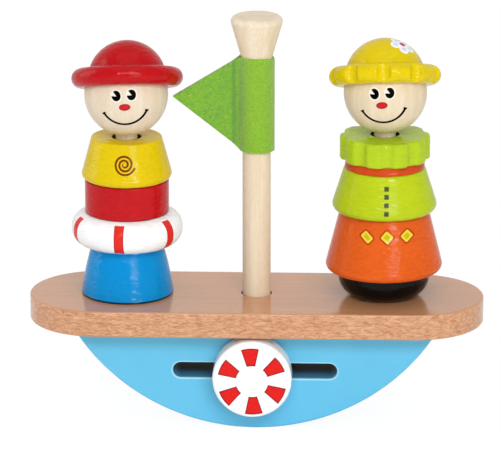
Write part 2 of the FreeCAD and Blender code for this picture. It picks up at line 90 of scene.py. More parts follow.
def addBump(paint, height, distance, strength=1.0):
    # distance in millimetres
    inputs = {"Strength": strength, "Distance": distance * mm, "Height": height}
    if paint["bump"]:
        inputs["Normal"] = paint["bump"]
    paint["bump"] = addNode(paint["tree"], "Bump", inputs)


def tint(paint, factor, hexCode):
    # lays another colour over what is there, where the factor is 1
    tree = paint["tree"]
    mix = addNode(tree, "Mix", {0: factor, 6: paint["colour"], 7: linearColour(hexCode)}, data_type="RGBA")
    paint["colour"] = mix.outputs[2]


def finishMaterial(paint, roughness, *nodes, **sockets):
    # the constants go on the shader's own sockets
    tree, shader = paint["tree"], paint["shader"]
    tree.links.new(paint["colour"], shader.inputs["Base Color"])
    if paint["bump"]:
        tree.links.new(paint["bump"].outputs[0], shader.inputs["Normal"])
    if isinstance(roughness, bpy.types.Node):
        tree.links.new(roughness.outputs[0], shader.inputs["Roughness"])
    else:
        shader.inputs["Roughness"].default_value = roughness
    for name, value in sockets.items():
        shader.inputs[name.replace("_", " ")].default_value = value
    for name in nodes:
        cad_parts[name].material_slots[0].material = paint["material"]


def ranged(tree, value, fromLow, fromHigh, toLow=0.0, toHigh=1.0):
    # a value carried from one range to another, and held at both ends
    return addNode(tree, "MapRange", [value, fromLow, fromHigh, toLow, toHigh], clamp=True)


def distanceFrom(tree, *offsets):
    # how far a spot is, from its offsets along X, Y and Z
    spot = addNode(tree, "CombineXYZ", offsets)
    return addNode(tree, "VectorMath", [spot], operation="LENGTH").outputs["Value"]


def foldAround(tree, angle, count, first):
    # the angle from the nearest of several marks that stand evenly round a circle; first in degrees
    step = fullTurn / count
    shifted = addNode(tree, "Math", [angle, step / 2 - math.radians(first) + 2 * fullTurn], operation="ADD")
    wrapped = addNode(tree, "Math", [shifted, step], operation="MODULO")
    return addNode(tree, "Math", [wrapped, step / 2], operation="SUBTRACT")


printEdge = 0.06     # how soft the edge of a printed mark is, in mm


def inside(tree, distance, feather=printEdge):
    # 1 inside a printed shape and 0 outside it; distance to its edge in mm, negative inside
    return ranged(tree, distance, feather, -feather)


def ellipse(tree, spot, centre, radii):
    # distance to an ellipse printed on the plane that looks to the front
    vector = addNode(tree, "Mapping", [spot, (centre[0], 0, centre[1]), None, (radii[0], 1e6, radii[1])],
                     vector_type="TEXTURE")
    length = addNode(tree, "VectorMath", [vector], operation="LENGTH").outputs["Value"]
    return addNode(tree, "Math", [length, min(radii), -min(radii)], operation="MULTIPLY_ADD")


def roundedBlock(tree, spot, centre, halves, corner, tilt=0.0):
    # distance to a rectangle with round corners, printed on the plane that looks to the front
    vector = addNode(tree, "Mapping", [spot, (centre[0], 0, centre[1]), (0, math.radians(-tilt), 0),
                                       (1, 1e6, 1)], vector_type="TEXTURE")
    folded = addNode(tree, "VectorMath", [vector], operation="ABSOLUTE")
    core = (halves[0] - corner, 0, halves[1] - corner)
    beyond = addNode(tree, "VectorMath", [folded, core], operation="SUBTRACT")
    beyond = addNode(tree, "VectorMath", [beyond, (0, 0, 0)], operation="MAXIMUM")
    length = addNode(tree, "VectorMath", [beyond], operation="LENGTH").outputs["Value"]
    return addNode(tree, "Math", [length, corner], operation="SUBTRACT")


def frontOnly(tree, spot, mask):
    # keeps a mark to the side that looks to -Y
    depth = addNode(tree, "SeparateXYZ", [spot]).outputs[1]
    front = addNode(tree, "Math", [depth, 0.0], operation="LESS_THAN")
    return addNode(tree, "Math", [mask, front], operation="MULTIPLY")


# Gloss paint on turned beech: sprayed while it spins, so fine rings and a slight orange peel
glossPaint = {
    "roughness": (0.07, 0.13),             # lowest and highest
    "level": 0.17,                         # thin water paint throws back less than a solid plastic would
    "flatLevel": 0.10,                     # it sinks into the sawn flat faces, which stay duller
    "flatFacing": (0.85, 0.98),            # how far up a face looks, from sloping to flat
    "ringsPerMm": (0.34, 0.34, 0.85),      # lathe rings, real ones 0.3 mm apart, drawn coarse so that they show
    "ringDepth": 0.45,                     # mm
    "peelPerMm": (0.55, 0.55, 0.55),       # orange peel, 2 mm across
    "peelDepth": 0.035,                    # mm
    "cloudsPerMm": (0.06, 0.06, 0.09),     # where the coat lies thicker, over 10 to 15 mm
    "shade": 0.4,                          # how much the coat's thickness shows in the colour
}


def painted(name, hexCode, deepHex, centre, turn=(0, 0, 0)):
    paint = startMaterial(name, hexCode, centre, turn)
    tree, look = paint["tree"], glossPaint
    rings = stretched(paint, look["ringsPerMm"], detail=0.5)
    peel = stretched(paint, look["peelPerMm"], detail=2)
    clouds = stretched(paint, look["cloudsPerMm"], detail=3)
    uneven = addNode(tree, "Math", [rings, clouds], operation="MULTIPLY")
    tint(paint, ranged(tree, uneven, 0.18, 0.42, 0.0, look["shade"]), deepHex)
    addBump(paint, rings, look["ringDepth"], 0.6)
    addBump(paint, peel, look["peelDepth"], 0.5)
    paint["rough"] = ranged(tree, clouds, 0.3, 0.7, *look["roughness"])
    upward = addNode(tree, "SeparateXYZ", [addNode(tree, "NewGeometry").outputs["Normal"]]).outputs[2]
    level = ranged(tree, upward, *look["flatFacing"], look["level"], look["flatLevel"])
    tree.links.new(level.outputs[0], paint["shader"].inputs["Specular IOR Level"])
    return paint


def finishPaint(paint, node):
    finishMaterial(paint, paint["rough"], node, Specular_IOR_Level=glossPaint["level"])


def paintFootShadow(paint, level, hexCode, height=0.5, soft=0.2):
    # painted shadow: the paint is darkened along the edge that stands on the next piece, where the contact shadow
    # falls; all in mm
    tree = paint["tree"]
    up = addNode(tree, "SeparateXYZ", [paint["spot"]]).outputs[2]
    tint(paint, ranged(tree, up, level + height + soft, level + height - soft, 0.0, 0.9), hexCode)


def paintBoreShade(paint, radius=7.0):
    # the loose hole through a ring is painted dark, as painted shade inside the bore; radius in mm
    tree = paint["tree"]
    parts = addNode(tree, "SeparateXYZ", [paint["spot"]])
    fromAxis = distanceFrom(tree, parts.outputs[0], parts.outputs[1])
    tint(paint, ranged(tree, fromAxis, radius + 0.2, radius + 0.05, 0.0, 0.9), "#1C1006")


# Camera: where the photograph was taken from
view = {
    "place": (73.579 * mm, -2089.841 * mm, 720.05 * mm),
    "target": (-3.197 * mm, 0.0, 95.62 * mm),
    "lens": 325.26,              # mm, for a sensor 36 mm wide
    "sensor": 36,
    "nearest": 0.05, "farthest": 60,
}
cameraData = bpy.data.cameras.new("camera")
camera = bpy.data.objects.new("camera", cameraData)
scene.collection.objects.link(camera)
cameraData.lens = view["lens"]
cameraData.sensor_width = view["sensor"]
cameraData.clip_start, cameraData.clip_end = view["nearest"], view["farthest"]
camera.location = view["place"]
looking = Vector(view["target"]) - Vector(view["place"])
camera.rotation_euler = looking.to_track_quat("-Z", "Y").to_euler()
scene.camera = camera
print("camera placed")

# Deck: clear varnished beech, flat sawn, its grain along the boat; the varnish is wet-looking
deckLook = {
    "top": "#CD9469", "topDeep": "#BF8962", "flecks": "#A06A48", "fleckDepth": 0.03,
    "edge": "#D29B74", "edgeDeep": "#AE7046", "edgePale": "#E6B68C",
    "bandsPerMm": (0.010, 0.16, 0.16),     # growth bands 5 to 8 mm apart
    "flecksPerMm": (0.28, 1.9, 1.9),       # ray flecks about 0.5 by 3.5 mm
    "figurePerMm": (0.26, 0.6, 0.95),      # the short wavy figure of the cut edge
    "roughness": (0.12, 0.2), "coat": 0.3, "coatRoughness": 0.08, "level": 0.4,
}
deck = startMaterial("varnished_beech_plank", deckLook["top"])
tree = deck["tree"]
bands = stretched(deck, deckLook["bandsPerMm"], detail=4, distortion=0.6)
dashes = stretched(deck, deckLook["flecksPerMm"], detail=2)
figure = stretched(deck, deckLook["figurePerMm"], detail=4, roughness=0.6, distortion=1.0)
tint(deck, ranged(tree, bands, 0.35, 0.70, 0.0, 0.6), deckLook["topDeep"])
normal = addNode(tree, "SeparateXYZ", [addNode(tree, "NewGeometry").outputs["Normal"]])
upright = addNode(tree, "Math", [normal.outputs[2]], operation="ABSOLUTE")
side = ranged(tree, upright, 0.75, 0.35)
tint(deck, side, deckLook["edge"])
for low, high, amount, hexCode in ((0.46, 0.66, 0.8, deckLook["edgeDeep"]),
                                   (0.46, 0.34, 0.6, deckLook["edgePale"])):
    patches = ranged(tree, figure, low, high, 0.0, amount)
    tint(deck, addNode(tree, "Math", [patches, side], operation="MULTIPLY"), hexCode)
tint(deck, ranged(tree, dashes, 0.60, 0.70, 0.0, 0.35), deckLook["flecks"])
addBump(deck, dashes, deckLook["fleckDepth"], 0.4)
finishMaterial(deck, ranged(tree, figure, 0.3, 0.7, *deckLook["roughness"]), "deck",
               Coat_Weight=deckLook["coat"], Coat_Roughness=deckLook["coatRoughness"],
               Specular_IOR_Level=deckLook["level"])

# Rocker: satin water paint on beech, rolled on, so it is flatter than the sprayed pieces
rockerLook = {
    "paint": "#66C3E8", "deep": "#5ABBE3", "lipHighlight": "#A6E2F8",
    "slotLevel": 29.1, "slotHalf": 3.85, "slotReach": 39.65,             # the slot's place, in mm
    "lipWidth": 0.7, "lipFrom": (21.2, 21.5),                            # from the rocker's middle plane
    "lipSoft": 0.15, "slotGrow": 0.05, "slotSoft": 0.04,                 # the edges of the lip's and slot's colour
    "slotShadows": [(21.4, 19.5, "#4E94B8"), (20.0, 5.0, "#06141C")],     # painted shadow inside the slot, each deepening from here to here, inwards
    "cloudsPerMm": (0.03, 0.03, 0.03),                                   # roller marks about 30 mm across
    "grainPerMm": (0.06, 1.2, 1.2), "grainDepth": 0.02,                  # grain lines under 1 mm apart
    "roughness": 0.42, "level": 0.45, "slotShine": 0.04,
}
keel = startMaterial("sky_blue_satin_paint", rockerLook["paint"])
tree = keel["tree"]
clouds = stretched(keel, rockerLook["cloudsPerMm"], detail=4)
grain = stretched(keel, rockerLook["grainPerMm"], detail=3)
tint(keel, ranged(tree, clouds, 0.35, 0.7, 0.0, 0.6), rockerLook["deep"])
parts = addNode(tree, "SeparateXYZ", [keel["spot"]])
straight = rockerLook["slotReach"] - rockerLook["slotHalf"]
lengthwise = addNode(tree, "Math", [parts.outputs[0]], operation="ABSOLUTE")
beyond = addNode(tree, "Math", [lengthwise, straight], operation="SUBTRACT")
beyond = addNode(tree, "Math", [beyond, 0.0], operation="MAXIMUM")
above = addNode(tree, "Math", [parts.outputs[2], rockerLook["slotLevel"]], operation="SUBTRACT")
toWall = addNode(tree, "Math", [distanceFrom(tree, beyond, 0.0, above), rockerLook["slotHalf"]],
                 operation="SUBTRACT")
depth = addNode(tree, "Math", [parts.outputs[1]], operation="ABSOLUTE")
onLip = addNode(tree, "Math", [toWall, rockerLook["lipWidth"]], operation="SUBTRACT")
onLip = inside(tree, onLip, rockerLook["lipSoft"])
lipHighlight = addNode(tree, "Math", [onLip, ranged(tree, depth, *rockerLook["lipFrom"])], operation="MULTIPLY")
tint(keel, lipHighlight, rockerLook["lipHighlight"])                           # painted highlight where the eased edge of the slot catches the light
inSlot = addNode(tree, "Math", [toWall, rockerLook["slotGrow"]], operation="SUBTRACT")
inSlot = inside(tree, inSlot, rockerLook["slotSoft"])
# painted shadow, darker deeper into the slot
for near, far, hexCode in rockerLook["slotShadows"]:
    shade = addNode(tree, "Math", [inSlot, ranged(tree, depth, near, far)], operation="MULTIPLY")
    tint(keel, shade, hexCode)
addBump(keel, grain, rockerLook["grainDepth"], 0.4)
thin = ranged(tree, inSlot, 0, 1, rockerLook["level"], rockerLook["slotShine"])    # bare wood hardly shines
tree.links.new(thin.outputs[0], keel["shader"].inputs["Specular IOR Level"])
finishMaterial(keel, rockerLook["roughness"], "keel", Specular_IOR_Level=rockerLook["level"])

# Bare beech, sanded: faint bands along the grain and short darker pores
beech = {
    "bandsPerMm": (0.012, 0.24),           # along the grain and across it: growth bands about 4 mm apart
    "poresPerMm": (0.25, 2.2),             # pores of 4 by 0.5 mm, drawn coarse so that they show
    "poreDepth": 0.03, "roughness": 0.5, "varnished": 0.38,
    # plain, deep and pale
    "mast": ("#E8D8BE", "#D8BE9A", "#F0E2CE"),
    # the sticks are painted paler than the mast: painted light on the necks, which stand in the heads' shade
    "stick": ("#FAE8CC", "#E2C49C", "#FFF2DC"),
    "pin": ("#E8D2B4", "#D0AE86", "#F2E4CC"),
}


def bareBeech(name, colours, centre=(0, 0, 0), along="Z"):
    plain, deep, pale = colours
    wood = startMaterial(name, plain, centre)
    tree = wood["tree"]
    bandScale, poreScale = ([lengthwise if axis == along else across for axis in "XYZ"]
                            for lengthwise, across in (beech["bandsPerMm"], beech["poresPerMm"]))
    bands = stretched(wood, bandScale, detail=4, distortion=0.4)
    pores = stretched(wood, poreScale, detail=2)
    tint(wood, ranged(tree, bands, 0.42, 0.72, 0.0, 0.5), deep)
    tint(wood, ranged(tree, bands, 0.44, 0.28, 0.0, 0.45), pale)
    tint(wood, ranged(tree, pores, 0.54, 0.68, 0.0, 0.5), deep)
    addBump(wood, pores, beech["poreDepth"], 0.5)
    return wood


# The figures, in mm: the deck they stand on, their upright axes, their heads' middles and the tilt of the hats
deckLevel = 61.7
sailor = {"axis": (-62.6, 0, 0), "head": (-62.6, 0, 160.8)}
girl = {"axis": (61.6, 0, 0), "head": (61.6, 0, 162.9)}
hatTilt = (math.radians(-18.4), math.radians(-1.8), 0)

# Mast, dowels and pegs
mast = bareBeech("sanded_beech_mast", beech["mast"])
finishMaterial(mast, beech["roughness"], "mast")
for name, centre in (("sailor_stick", sailor["axis"]), ("girl_stick", girl["axis"]), ("keel_pegs", (0, 0, 0))):
    dowel = bareBeech("sanded_beech_" + name, beech["stick"], centre)
    finishMaterial(dowel, beech["roughness"], name)
dowel = bareBeech("sanded_beech_slider_pin", beech["pin"], along="Y")
finishMaterial(dowel, beech["roughness"], "slider_pin")
print("wood done")

# Faces: a plain doll's face in printing ink on the varnished ball, the same on both heads
face = {
    "eyes": [(-3.65, 4.35), (3.65, 4.35)], "eyeRadii": (2.2, 2.5),
    "glint": (125, 175),                   # the wedge left out of each eye, in degrees
    "glintShift": 0.15, "glintSoft": 0.06, "rimWidth": 0.55, "rimSoft": 0.2, "rimStrength": 0.75,
    "nose": (0.0, -1.3), "noseRadii": (2.75, 1.72), "noseEdge": 0.45, "noseSoft": 0.25,
    "smileCentre": 1.14, "smileRadius": 11.49, "smileWidth": 1.12, "smileEnd": 62.6,
    "capReach": 0.85, "capWidth": 0.9,     # the short strokes that end the smile
    "capSoft": 0.006,                      # radians, as it is measured round the smile's centre
    "shine": 0.25, "inkShine": 0.02,
    "ink": "#020202", "rim": "#F6F0E4", "noseRed": "#CE0414", "noseDark": "#8A040E",
}


def paintFace(wood, spot, noseShift):
    tree = wood["tree"]
    middle = math.radians(sum(face["glint"]) / 2)
    half = math.radians(face["glint"][1] - face["glint"][0]) / 2
    rimRadii = tuple(radius + face["rimWidth"] for radius in face["eyeRadii"])
    black = None
    for eye in face["eyes"]:
        rim = inside(tree, ellipse(tree, spot, eye, rimRadii), face["rimSoft"])
        rim = addNode(tree, "Math", [rim, face["rimStrength"]], operation="MULTIPLY")
        tint(wood, frontOnly(tree, spot, rim), face["rim"])
    for eye in face["eyes"]:
        wholeEye = inside(tree, ellipse(tree, spot, eye, face["eyeRadii"]))
        corner = (eye[0] + face["glintShift"], 0, eye[1] - face["glintShift"])
        parts = addNode(tree, "SeparateXYZ", [addNode(tree, "Mapping", [spot, corner], vector_type="TEXTURE")])
        angle = addNode(tree, "Math", [parts.outputs[2], parts.outputs[0]], operation="ARCTAN2")
        off = addNode(tree, "Math", [angle, middle], operation="SUBTRACT")
        away = addNode(tree, "Math", [off], operation="ABSOLUTE")
        kept = ranged(tree, away, half - face["glintSoft"], half + face["glintSoft"])
        pupil = addNode(tree, "Math", [wholeEye, kept], operation="MULTIPLY")
        black = addNode(tree, "Math", [black, pupil], operation="MAXIMUM") if black else pupil

    nose = (face["nose"][0] + noseShift, face["nose"][1])
    coreRadii = tuple(radius - face["noseEdge"] for radius in face["noseRadii"])
    noseMask = inside(tree, ellipse(tree, spot, nose, face["noseRadii"]))
    noseCore = inside(tree, ellipse(tree, spot, nose, coreRadii), face["noseSoft"])

    arc = addNode(tree, "Mapping", [spot, (0, 0, face["smileCentre"]), None, (1, 1e6, 1)], vector_type="TEXTURE")
    reach = addNode(tree, "VectorMath", [arc], operation="LENGTH").outputs["Value"]
    parts = addNode(tree, "SeparateXYZ", [arc])
    down = addNode(tree, "Math", [parts.outputs[2], -1.0], operation="MULTIPLY")
    angle = addNode(tree, "Math", [parts.outputs[0], down], operation="ARCTAN2")
    angle = addNode(tree, "Math", [angle], operation="ABSOLUTE")
    offLine = addNode(tree, "Math", [reach, face["smileRadius"]], operation="SUBTRACT")
    offLine = addNode(tree, "Math", [offLine], operation="ABSOLUTE")
    end = math.radians(face["smileEnd"])
    onArc = addNode(tree, "Math", [angle, end], operation="LESS_THAN")
    halfWidth = face["smileWidth"] / 2
    line = addNode(tree, "Math", [ranged(tree, offLine, halfWidth + printEdge, halfWidth - printEdge), onArc],
                   operation="MULTIPLY")
    capHalf = face["capWidth"] / 2 / face["smileRadius"]
    offEnd = addNode(tree, "Math", [angle, end], operation="SUBTRACT")
    offEnd = addNode(tree, "Math", [offEnd], operation="ABSOLUTE")
    capLong = ranged(tree, offLine, face["capReach"] + printEdge, face["capReach"] - printEdge)
    capWide = ranged(tree, offEnd, capHalf + face["capSoft"], capHalf - face["capSoft"])
    cap = addNode(tree, "Math", [capLong, capWide], operation="MULTIPLY")
    for stroke in (line, cap):
        black = addNode(tree, "Math", [black, stroke], operation="MAXIMUM")

    tint(wood, frontOnly(tree, spot, noseMask), face["noseDark"])
    tint(wood, frontOnly(tree, spot, noseCore), face["noseRed"])
    ink = frontOnly(tree, spot, black)
    tint(wood, ink, face["ink"])
    shine = ranged(tree, ink, 0, 1, face["shine"], face["inkShine"])      # the ink dries matt
    tree.links.new(shine.outputs[0], wood["shader"].inputs["Specular IOR Level"])


heads = {
    "sailor_head": {"centre": sailor["head"], "yaw": 1.2, "roll": 4.5, "noseShift": 0.0,
                    "colours": ("#E5D6C0", "#D8C0A0", "#EEE0CC")},
    "girl_head": {"centre": girl["head"], "yaw": -3.2, "roll": 5.2, "noseShift": -0.5,
                  "colours": ("#E4D4B8", "#D8BE98", "#ECDEC6")},
}
for name, look in heads.items():
    head = bareBeech("varnished_beech_" + name, look["colours"], look["centre"])
    facing = (0, math.radians(-look["roll"]), math.radians(look["yaw"]))
    turned = addNode(head["tree"], "Mapping", [head["spot"], None, facing], vector_type="TEXTURE")
    paintFace(head, turned, look["noseShift"])
    finishMaterial(head, beech["varnished"], name, Specular_IOR_Level=face["shine"])
print("heads done")

# Left figure, from the deck up
baseLook = {"blue": "#008ED4", "deep": "#0082C8", "footShadow": "#020C1A", "footHeight": 1.05}
base = painted("blue_gloss_paint", baseLook["blue"], baseLook["deep"], sailor["axis"])
# painted contact shadow along its foot
paintFootShadow(base, deckLevel, baseLook["footShadow"], baseLook["footHeight"])
finishPaint(base, "sailor_base")

# Its swim ring: white gloss with six red bands round it
ringLook = {"bands": 6, "first": -5.5, "width": 4.7, "edge": 0.4, "soft": 0.08, "from": 23.2,
            "white": "#F8F8F8", "grey": "#EAEAEC", "red": "#E02A22", "dark": "#A81014"}
ring = painted("white_gloss_paint_ring", ringLook["white"], ringLook["grey"], sailor["axis"])
tree = ring["tree"]
parts = addNode(tree, "SeparateXYZ", [ring["spot"]])
behind = addNode(tree, "Math", [parts.outputs[1], -1.0], operation="MULTIPLY")
around = addNode(tree, "Math", [parts.outputs[0], behind], operation="ARCTAN2")
folded = foldAround(tree, around, ringLook["bands"], ringLook["first"])
fromAxis = distanceFrom(tree, parts.outputs[0], parts.outputs[1])
across = addNode(tree, "Math", [addNode(tree, "Math", [folded], operation="SINE"), fromAxis], operation="MULTIPLY")
across = addNode(tree, "Math", [across], operation="ABSOLUTE")
outer = ranged(tree, fromAxis, ringLook["from"] - printEdge, ringLook["from"] + printEdge)
for narrower, hexCode in ((0.0, ringLook["dark"]), (ringLook["edge"], ringLook["red"])):
    half = ringLook["width"] / 2 - narrower
    band = ranged(tree, across, half + ringLook["soft"], half - ringLook["soft"])
    band = addNode(tree, "Math", [band, outer], operation="MULTIPLY")
    tint(ring, band, hexCode)
finishPaint(ring, "sailor_swim_ring")

trunksLook = {"red": "#BE1018", "deep": "#AE0A14", "footShadow": "#5A060A", "foot": 40.9}
trunks = painted("red_gloss_paint_trunks", trunksLook["red"], trunksLook["deep"], sailor["axis"])
# painted contact shadow along its foot
paintFootShadow(trunks, deckLevel + trunksLook["foot"], trunksLook["footShadow"])
finishPaint(trunks, "sailor_trunks")

# Shirt with a brown spiral, printed flat on the front
spiral = {"centre": (0.15, 69.15), "outer": 5.05, "pitch": 1.78, "inner": 0.7, "width": 1.0, "start": -15.0,
          "soft": 0.08, "foot": 57.4,
          "yellow": "#DEC208", "deep": "#CEB004", "brown": "#7C2E08", "footShadow": "#8A5A08"}
shirt = painted("yellow_gloss_paint_shirt", spiral["yellow"], spiral["deep"], sailor["axis"])
tree = shirt["tree"]
centre = (spiral["centre"][0], 0, deckLevel + spiral["centre"][1])
near = addNode(tree, "Mapping", [shirt["spot"], centre], vector_type="TEXTURE")
parts = addNode(tree, "SeparateXYZ", [near])
reach = distanceFrom(tree, parts.outputs[0], 0.0, parts.outputs[2])
angle = addNode(tree, "Math", [parts.outputs[2], parts.outputs[0]], operation="ARCTAN2")
clockwise = addNode(tree, "Math", [math.radians(spiral["start"]) + 2 * fullTurn, angle], operation="SUBTRACT")
turns = addNode(tree, "Math", [clockwise, fullTurn], operation="MODULO")
turns = addNode(tree, "Math", [turns, fullTurn], operation="DIVIDE")
inward = addNode(tree, "Math", [spiral["outer"], reach], operation="SUBTRACT")
inward = addNode(tree, "Math", [inward, spiral["pitch"]], operation="DIVIDE")
count = addNode(tree, "Math", [inward, turns], operation="SUBTRACT")
nearest = addNode(tree, "Math", [count], operation="ROUND")
offLine = addNode(tree, "Math", [count, nearest], operation="SUBTRACT")
offLine = addNode(tree, "Math", [offLine], operation="ABSOLUTE")
offLine = addNode(tree, "Math", [offLine, spiral["pitch"]], operation="MULTIPLY")
halfWidth = spiral["width"] / 2
line = ranged(tree, offLine, halfWidth + spiral["soft"], halfWidth - spiral["soft"])
for value, least in ((count, -0.5), (reach, spiral["inner"])):       # it stops at its outer and inner ends
    enough = addNode(tree, "Math", [value, least], operation="GREATER_THAN")
    line = addNode(tree, "Math", [line, enough], operation="MULTIPLY")
tint(shirt, frontOnly(tree, near, line), spiral["brown"])
# painted contact shadow along its foot
paintFootShadow(shirt, deckLevel + spiral["foot"], spiral["footShadow"])
# painted shade inside its bore
paintBoreShade(shirt)
finishPaint(shirt, "sailor_shirt")

hatLook = {"red": "#BC0E16", "deep": "#AA080E"}
hat = painted("red_gloss_paint_hat", hatLook["red"], hatLook["deep"], sailor["head"], hatTilt)
finishPaint(hat, "sailor_hat")
print("left figure done")

# Right figure, from the deck up
footLook = {"black": "#050506", "deep": "#030304"}
foot = painted("black_gloss_paint", footLook["black"], footLook["deep"], girl["axis"])
finishPaint(foot, "girl_base")

skirtLook = {
    "orange": "#DE5E1A", "deep": "#CC4A0E", "footShadow": "#7A1E06", "foot": 13.3,
    # across, up, the two half sides and the tilt of each diamond
    "diamonds": [(-8.08, 35.30, 2.5, 1.85, -45.0), (1.62, 35.42, 2.3, 2.2, -41.0),
                 (11.01, 35.77, 2.15, 2.2, -47.0)],
    # growth, corner, feather and colour: outline, ring and core
    "layers": [(0.75, 1.3, 0.15, "#A83C0A"), (0.0, 0.7, 0.15, "#F4CE3E"), (-0.9, 0.5, 0.3, "#BCBA08")],
}
skirt = painted("orange_gloss_paint_skirt", skirtLook["orange"], skirtLook["deep"], girl["axis"])
tree = skirt["tree"]
for acrossX, up, long, short, tilt in skirtLook["diamonds"]:
    for grow, corner, feather, hexCode in skirtLook["layers"]:
        edge = roundedBlock(tree, skirt["spot"], (acrossX, deckLevel + up), (long + grow, short + grow),
                            corner, tilt)
        tint(skirt, frontOnly(tree, skirt["spot"], inside(tree, edge, feather)), hexCode)
# painted contact shadow along its foot
paintFootShadow(skirt, deckLevel + skirtLook["foot"], skirtLook["footShadow"])
finishPaint(skirt, "girl_skirt")

coatLook = {"lime": "#B8CA1A", "deep": "#A4BA10", "footShadow": "#5A5A0C", "foot": 43.0,
            "button": "#45502A", "half": 1.1, "corner": 0.2, "soft": 0.12, "across": 1.14,
            "levels": [58.97, 55.33, 51.52, 47.52]}
coat = painted("lime_gloss_paint_coat", coatLook["lime"], coatLook["deep"], girl["axis"])
tree = coat["tree"]
for up in coatLook["levels"]:
    edge = roundedBlock(tree, coat["spot"], (coatLook["across"], deckLevel + up),
                        (coatLook["half"],) * 2, coatLook["corner"])
    tint(coat, frontOnly(tree, coat["spot"], inside(tree, edge, coatLook["soft"])), coatLook["button"])
# painted contact shadow along its foot
paintFootShadow(coat, deckLevel + coatLook["foot"], coatLook["footShadow"])
finishPaint(coat, "girl_coat")

scarfLook = {"orange": "#D0481A", "deep": "#BC380E"}
scarf = painted("orange_gloss_paint_scarf", scarfLook["orange"], scarfLook["deep"], girl["axis"])
finishPaint(scarf, "girl_scarf")

ruffLook = {"lime": "#B0CA1E", "deep": "#9CBA14"}
ruff = painted("lime_gloss_paint_ruff", ruffLook["lime"], ruffLook["deep"], girl["axis"])
# painted shade inside its bore
paintBoreShade(ruff)
finishPaint(ruff, "girl_ruff")

# Her hat, with a five-petalled flower on the dome
flower = {"centre": (69.57, -0.28, 186.64), "facing": (0.4220, -0.1240, 0.8980), "petals": 5, "first": 182.0,
          "ring": 3.9, "petal": 2.55, "shaded": 1.3, "eye": 1.65, "eyeRim": 0.5, "shadeSoft": 0.5,
          "behind": -6.0,                  # the marks reach this deep below the dome, on this side of the hat only
          "white": "#F6F7FC", "shade": "#D2D8EE", "red": "#C4280E"}
bonnetLook = {"yellow": "#DEC606", "deep": "#CEB202"}
bonnet = painted("yellow_gloss_paint_hat", bonnetLook["yellow"], bonnetLook["deep"], girl["head"], hatTilt)
tree = bonnet["tree"]
out = Vector(flower["facing"]).normalized()
sideways = out.cross(Vector((0, 1, 0))).normalized()
turn = Matrix((sideways, sideways.cross(out), out)).transposed().to_euler()
place = tuple(c * mm for c in flower["centre"])
onDome = addNode(tree, "Mapping", [bonnet["coords"], place, turn, (mm, mm, mm)], vector_type="TEXTURE")
parts = addNode(tree, "SeparateXYZ", [onDome])
angle = addNode(tree, "Math", [parts.outputs[1], parts.outputs[0]], operation="ARCTAN2")
folded = foldAround(tree, angle, flower["petals"], flower["first"])
reach = distanceFrom(tree, parts.outputs[0], parts.outputs[1])
along = addNode(tree, "Math", [addNode(tree, "Math", [folded], operation="COSINE"), reach], operation="MULTIPLY")
aside = addNode(tree, "Math", [addNode(tree, "Math", [folded], operation="SINE"), reach], operation="MULTIPLY")
along = addNode(tree, "Math", [along, flower["ring"]], operation="SUBTRACT")
toPetal = distanceFrom(tree, along, aside)
outside = ranged(tree, parts.outputs[2], flower["behind"], flower["behind"] + 0.2)
for distance, radius, feather, hexCode in (
        (toPetal, flower["petal"], printEdge, flower["white"]),
        (toPetal, flower["shaded"], flower["shadeSoft"], flower["shade"]),
        (reach, flower["eye"] + flower["eyeRim"], printEdge, flower["white"]),
        (reach, flower["eye"], printEdge, flower["red"])):
    edge = addNode(tree, "Math", [distance, radius], operation="SUBTRACT")
    mark = addNode(tree, "Math", [inside(tree, edge, feather), outside], operation="MULTIPLY")
    tint(bonnet, mark, hexCode)
finishPaint(bonnet, "girl_hat")
print("right figure done")

# Knobs: white gloss discs with six red sectors
knobLook = {"centre": (-1.0, 0, 28.8), "sectors": 6, "first": 93.4, "half": 15.0, "inner": 7.8, "outer": 16.7,
            "drop": 0.75, "rim": 0.5, "white": "#FAFAFA", "grey": "#F0F0F2", "red": "#E01C18", "dark": "#8C0A0E"}
bandMiddle = (knobLook["inner"] + knobLook["outer"]) / 2
bandHalf = (knobLook["outer"] - knobLook["inner"]) / 2
for name in ("front_knob", "back_knob"):
    knob = painted("white_gloss_paint_" + name, knobLook["white"], knobLook["grey"], knobLook["centre"])
    tree = knob["tree"]
    parts = addNode(tree, "SeparateXYZ", [knob["spot"]])
    upward = addNode(tree, "Math", [parts.outputs[2], knobLook["drop"]], operation="ADD")
    reach = distanceFrom(tree, parts.outputs[0], 0.0, upward)
    angle = addNode(tree, "Math", [upward, parts.outputs[0]], operation="ARCTAN2")
    folded = foldAround(tree, angle, knobLook["sectors"], knobLook["first"])
    fromMiddle = addNode(tree, "Math", [folded], operation="ABSOLUTE")
    toSide = addNode(tree, "Math", [fromMiddle, math.radians(knobLook["half"])], operation="SUBTRACT")
    toSide = addNode(tree, "Math", [toSide, reach], operation="MULTIPLY")
    offBand = addNode(tree, "Math", [reach, bandMiddle], operation="SUBTRACT")
    offBand = addNode(tree, "Math", [offBand], operation="ABSOLUTE")
    offBand = addNode(tree, "Math", [offBand, bandHalf], operation="SUBTRACT")
    edge = addNode(tree, "Math", [toSide, offBand], operation="MAXIMUM")
    tint(knob, inside(tree, edge), knobLook["dark"])
    shrunk = addNode(tree, "Math", [edge, knobLook["rim"]], operation="ADD")
    tint(knob, inside(tree, shrunk), knobLook["red"])
    finishPaint(knob, name)
print("knobs done")

